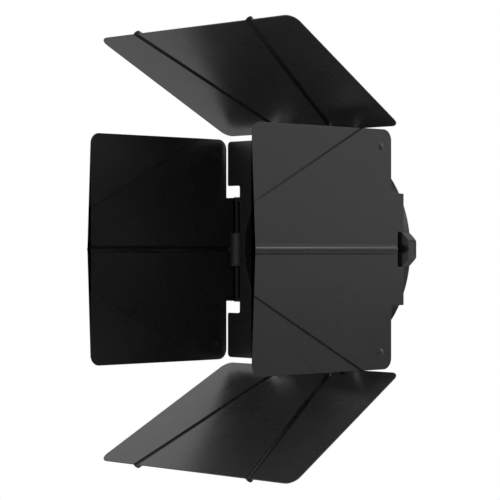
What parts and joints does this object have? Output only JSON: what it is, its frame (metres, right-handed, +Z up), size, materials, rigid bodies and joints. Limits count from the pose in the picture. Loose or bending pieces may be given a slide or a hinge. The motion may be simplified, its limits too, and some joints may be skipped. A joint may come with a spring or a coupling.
{
  "type": "barn-door set",
  "caption": "Square barn-door set with four hinged leaves on a turning ring that clamps to a round studio reflector.",
  "frame": {"origin": "on the axis of the mount ring, half way along the bore that takes the reflector's rim", "axes": "+Z up, the beam leaves along -Y, +Y points back to the lamp, +X is the right-hand leaf"},
  "size_m": [0.257, 0.2169, 0.4004],
  "materials": {
    "coated_sheet": "satin black powder coat on sheet aluminium",
    "ring_casting": "satin black powder coat on die-cast aluminium",
    "black_nylon": "moulded glass-filled nylon",
    "pin_steel": "zinc-plated steel",
    "spring_steel": "oiled spring steel",
    "black_screws": "black-oxide steel",
    "brass": "turned brass",
    "acetal": "natural acetal",
    "fibre": "black vulcanised fibre",
    "sleeve_aluminium": "turned aluminium, black anodised"
  },
  "bodies": {
    "mount": {"mount_ring": "ring_casting", "thread_inserts": "brass"},
    "clamp_screw_1": {"clamp_stud_1": "pin_steel", "clamp_pad_1": "acetal", "clamp_knob_1": "black_nylon"},
    "clamp_screw_2": {"clamp_stud_2": "pin_steel", "clamp_pad_2": "acetal", "clamp_knob_2": "black_nylon"},
    "clamp_screw_3": {"clamp_stud_3": "pin_steel", "clamp_pad_3": "acetal", "clamp_knob_3": "black_nylon"},
    "door_frame": {"door_ring": "ring_casting", "front_plate": "coated_sheet", "glide_washer": "acetal", "snap_ring": "spring_steel", "plate_screws": "black_screws", "block_screws": "black_screws", "hinge_block_right": "black_nylon", "hinge_block_top": "black_nylon", "hinge_block_left": "black_nylon", "hinge_block_bottom": "black_nylon"},
    "door_right": {"leaf_right": "coated_sheet", "hinge_pin_right": "pin_steel", "friction_washers_right": "fibre", "hinge_sleeves_right": "sleeve_aluminium", "spring_washers_right": "spring_steel"},
    "door_top": {"leaf_top": "coated_sheet", "hinge_pin_top": "pin_steel", "friction_washers_top": "fibre", "hinge_sleeves_top": "sleeve_aluminium", "spring_washers_top": "spring_steel"},
    "door_left": {"leaf_left": "coated_sheet", "hinge_pin_left": "pin_steel", "friction_washers_left": "fibre", "hinge_sleeves_left": "sleeve_aluminium", "spring_washers_left": "spring_steel"},
    "door_bottom": {"leaf_bottom": "coated_sheet", "hinge_pin_bottom": "pin_steel", "friction_washers_bottom": "fibre", "hinge_sleeves_bottom": "sleeve_aluminium", "spring_washers_bottom": "spring_steel"}
  },
  "joints": [
    {"name": "frame_turn", "type": "hinge", "parent": "mount", "child": "door_frame", "pos_m": [0, 0, 0], "axis": [0, 1, 0], "continuous": true},
    {"name": "right_door_swing", "type": "hinge", "parent": "door_frame", "child": "door_right", "pos_m": [0.0986, -0.0279, 0], "axis": [0, 0, 1], "range_deg": [-90, 90]},
    {"name": "top_door_swing", "type": "hinge", "parent": "door_frame", "child": "door_top", "pos_m": [0, -0.0279, 0.0986], "axis": [1, 0, 0], "range_deg": [-60, 30]},
    {"name": "left_door_swing", "type": "hinge", "parent": "door_frame", "child": "door_left", "pos_m": [-0.0986, -0.0279, 0], "axis": [0, 0, 1], "range_deg": [-90, 90]},
    {"name": "bottom_door_swing", "type": "hinge", "parent": "door_frame", "child": "door_bottom", "pos_m": [0, -0.0279, -0.0986], "axis": [1, 0, 0], "range_deg": [-30, 60]},
    {"name": "clamp_screw_1_travel", "type": "slide", "parent": "mount", "child": "clamp_screw_1", "axis": [-0.5, 0, -0.866], "range_m": [0, 0.007]},
    {"name": "clamp_screw_2_travel", "type": "slide", "parent": "mount", "child": "clamp_screw_2", "axis": [1, 0, 0], "range_m": [0, 0.007]},
    {"name": "clamp_screw_3_travel", "type": "slide", "parent": "mount", "child": "clamp_screw_3", "axis": [-0.5, 0, 0.866], "range_m": [0, 0.007]}
  ]
}
